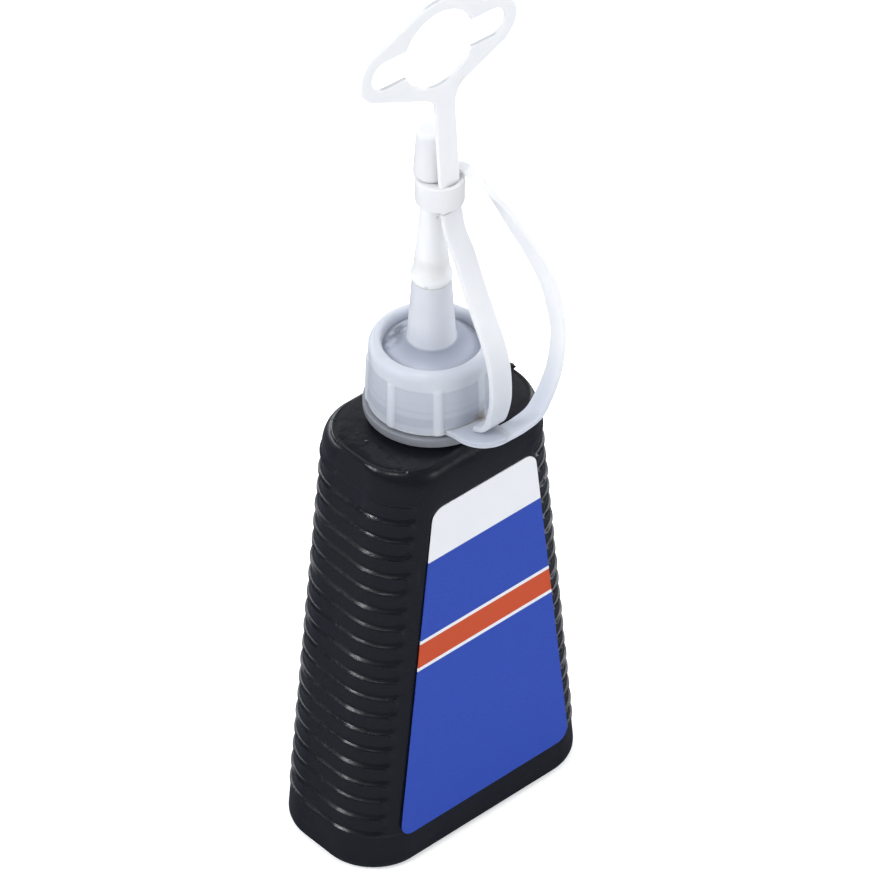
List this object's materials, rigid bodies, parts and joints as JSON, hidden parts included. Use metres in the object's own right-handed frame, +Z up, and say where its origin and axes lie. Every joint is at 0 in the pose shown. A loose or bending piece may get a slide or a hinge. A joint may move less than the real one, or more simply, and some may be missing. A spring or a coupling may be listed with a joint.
{
  "type": "graphite powder squeeze bottle",
  "caption": "Black squeeze bottle of graphite powder for locks, with a screwed-on nozzle, a tethered closure and a hang tab.",
  "frame": {"origin": "middle of the bottle's flat base", "axes": "+Z up along the neck and the nozzle, the label faces -Y, +X to the right of a viewer who faces the label"},
  "size_m": [0.065, 0.038, 0.205],
  "materials": {
    "bottle_black": "satin black polyethylene",
    "powder": "loose graphite powder",
    "label_film": "printed glossy film",
    "collar_grey": "translucent grey polyethylene",
    "spout_natural": "translucent natural polyethylene",
    "nut_natural": "translucent natural polyethylene",
    "tab_natural": "translucent natural polyethylene"
  },
  "bodies": {
    "bottle": {"bottle": "bottle_black", "graphite_powder": "powder", "front_label": "label_film", "neck_collar": "collar_grey"},
    "spout": {"spout_insert": "spout_natural", "nozzle_tip": "spout_natural"},
    "nut": {"union_nut": "nut_natural", "hanger_strap": "tab_natural", "keeper_ring": "tab_natural", "hanger": "tab_natural", "tether_strap": "tab_natural"},
    "closure": {"closure_cap": "tab_natural"}
  },
  "joints": [
    {"name": "spout_lift", "type": "slide", "parent": "bottle", "child": "spout", "axis": [0, 0, 1], "range_m": [0, 0.006]},
    {"name": "nut_turn", "type": "hinge", "parent": "spout", "child": "nut", "pos_m": [0, 0, 0.11], "axis": [0, 0, 1], "range_deg": [0, 720]},
    {"name": "closure_pull", "type": "slide", "parent": "nut", "child": "closure", "axis": [0, 0, 1], "range_m": [0, 0.012], "deforming": ["tether_strap"]}
  ],
  "couplings": [
    {"joint": "spout_lift", "follows": "nut_turn", "m_per_rad": 0.00047746}
  ]
}
